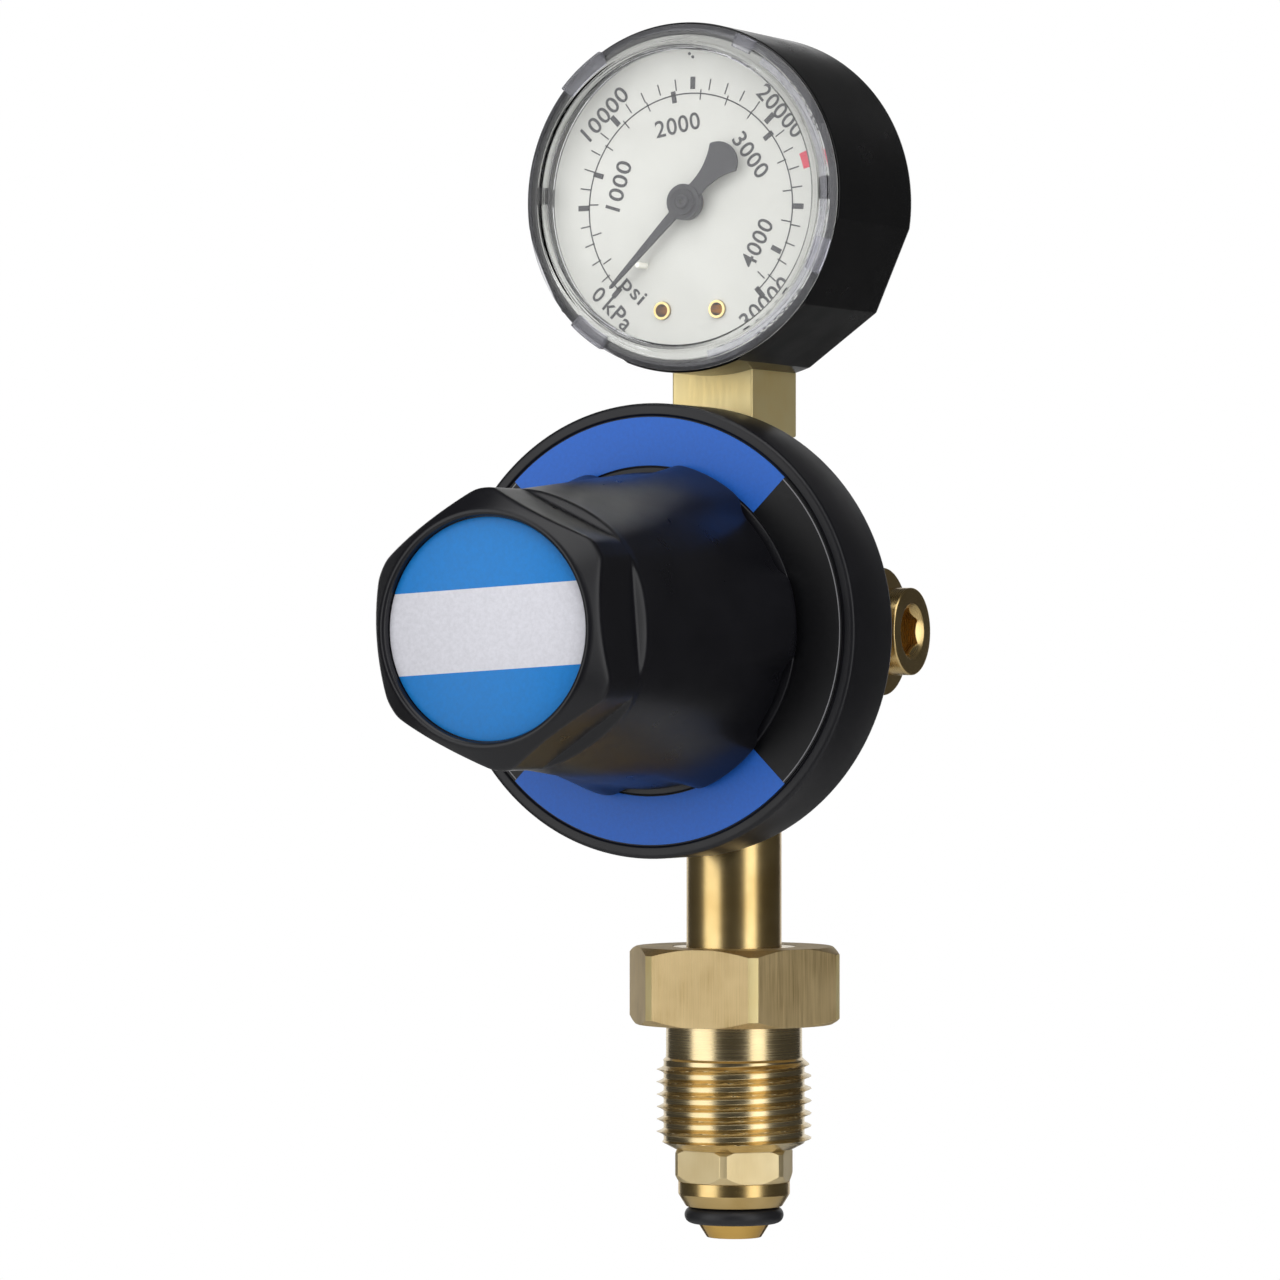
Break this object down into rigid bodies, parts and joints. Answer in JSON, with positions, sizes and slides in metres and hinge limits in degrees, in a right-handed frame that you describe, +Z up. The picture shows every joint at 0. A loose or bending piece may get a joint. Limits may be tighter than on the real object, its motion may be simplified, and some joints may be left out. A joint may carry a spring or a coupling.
{
  "type": "gas cylinder pressure regulator",
  "caption": "Brass gas cylinder regulator with a black bonnet and knob, a contents gauge above, an inlet nut and stem below, and a side outlet.",
  "frame": {"origin": "on the inlet stem axis, in the plane where the inlet nut thread starts at its lower end", "axes": "+Z up the inlet stem towards the gauge, the knob and the dial face -Y, the outlet leaves along -X"},
  "size_m": [0.0814, 0.0953, 0.1758],
  "materials": {
    "brass": "turned and milled, satin",
    "body_brass": "machined",
    "pale_brass": "brushed",
    "bonnet_black": "black powder coat",
    "knob_black": "satin black",
    "blue_label": "printed film",
    "ring_label": "printed film",
    "case_black": "smooth black",
    "clear": "clear moulded cap",
    "dial": "off-white enamel",
    "pointer_grey": "dark grey",
    "rubber": "moulded",
    "spring_steel": "bright wire",
    "plated_steel": "zinc plated",
    "aluminium": "turned",
    "seat_plastic": "turned",
    "bronze_filter": "sintered",
    "tube_bronze": "drawn"
  },
  "bodies": {
    "regulator": {"body": "body_brass", "bonnet": "bonnet_black", "bonnet_label": "ring_label", "port_plug": "brass", "port_plug_seal": "rubber", "outlet_fitting": "brass", "inlet_stem": "brass", "inlet_o_ring": "rubber", "inlet_filter": "bronze_filter", "gauge_socket": "pale_brass", "gauge_case": "case_black", "blowout_plug": "rubber", "gauge_lens": "clear", "gauge_dial": "dial", "dial_eyelets": "brass", "pointer_stop": "dial", "main_spring": "spring_steel", "slip_ring": "seat_plastic", "diaphragm": "rubber", "valve_nozzle": "brass", "valve_spring": "spring_steel", "rear_cap": "brass", "rear_cap_seal": "rubber", "relief_body": "brass", "relief_spring": "spring_steel", "relief_cap": "brass", "bourdon_tube": "tube_bronze", "movement_back_plate": "brass", "movement_front_plate": "brass", "movement_pillars": "brass", "hairspring": "tube_bronze"},
    "spring_button": {"spring_button": "plated_steel"},
    "knob": {"knob": "knob_black", "knob_label": "blue_label", "adjusting_screw": "plated_steel"},
    "diaphragm_plate": {"diaphragm_plate": "aluminium", "diaphragm_washer": "aluminium"},
    "valve_stem": {"valve_stem": "brass", "valve_seat_disc": "seat_plastic"},
    "relief_disc": {"relief_disc": "brass"},
    "inlet_nut": {"inlet_nut": "brass"},
    "pointer": {"pointer": "pointer_grey", "pinion_arbor": "brass"},
    "sector": {"sector_gear": "brass"},
    "link": {"movement_link": "brass", "tube_tip": "brass"}
  },
  "joints": [
    {"name": "screw_travel", "type": "slide", "parent": "regulator", "child": "spring_button", "axis": [0, 1, 0], "range_m": [-0.006, 0.0009], "deforming": ["main_spring"]},
    {"name": "knob_turn", "type": "hinge", "parent": "spring_button", "child": "knob", "pos_m": [0, 0, 0.074], "axis": [0, 1, 0], "range_deg": [-1441, 217]},
    {"name": "diaphragm_move", "type": "slide", "parent": "regulator", "child": "diaphragm_plate", "axis": [0, 1, 0], "range_m": [0, 0.0008], "deforming": ["diaphragm"]},
    {"name": "valve_travel", "type": "slide", "parent": "regulator", "child": "valve_stem", "axis": [0, 1, 0], "range_m": [0, 0.0008], "deforming": ["valve_spring"]},
    {"name": "relief_lift", "type": "slide", "parent": "regulator", "child": "relief_disc", "axis": [0, 1, 0], "range_m": [0, 0.001], "stiffness_N_per_m": 900, "springref_m": -0.004, "deforming": ["relief_spring"]},
    {"name": "inlet_nut_turn", "type": "hinge", "parent": "regulator", "child": "inlet_nut", "pos_m": [0, 0, 0.02], "axis": [0, 0, 1], "continuous": true},
    {"name": "pointer_sweep", "type": "hinge", "parent": "regulator", "child": "pointer", "pos_m": [0, 0, 0.13575], "axis": [0, 1, 0], "range_deg": [0, 270], "deforming": ["hairspring", "bourdon_tube"]},
    {"name": "sector_swing", "type": "hinge", "parent": "regulator", "child": "sector", "pos_m": [0, 0, 0.1245], "axis": [0, 1, 0], "range_deg": [-33.76, 0]},
    {"name": "link_swing", "type": "hinge", "parent": "sector", "child": "link", "pos_m": [-0.00105, 0, 0.12794], "axis": [0, 1, 0], "range_deg": [0, 33.76]}
  ],
  "couplings": [
    {"joint": "knob_turn", "follows": "screw_travel", "rad_per_m": 4188.8},
    {"joint": "valve_travel", "follows": "diaphragm_move", "ratio": 1},
    {"joint": "sector_swing", "follows": "pointer_sweep", "ratio": -0.125},
    {"joint": "link_swing", "follows": "pointer_sweep", "ratio": 0.125}
  ]
}
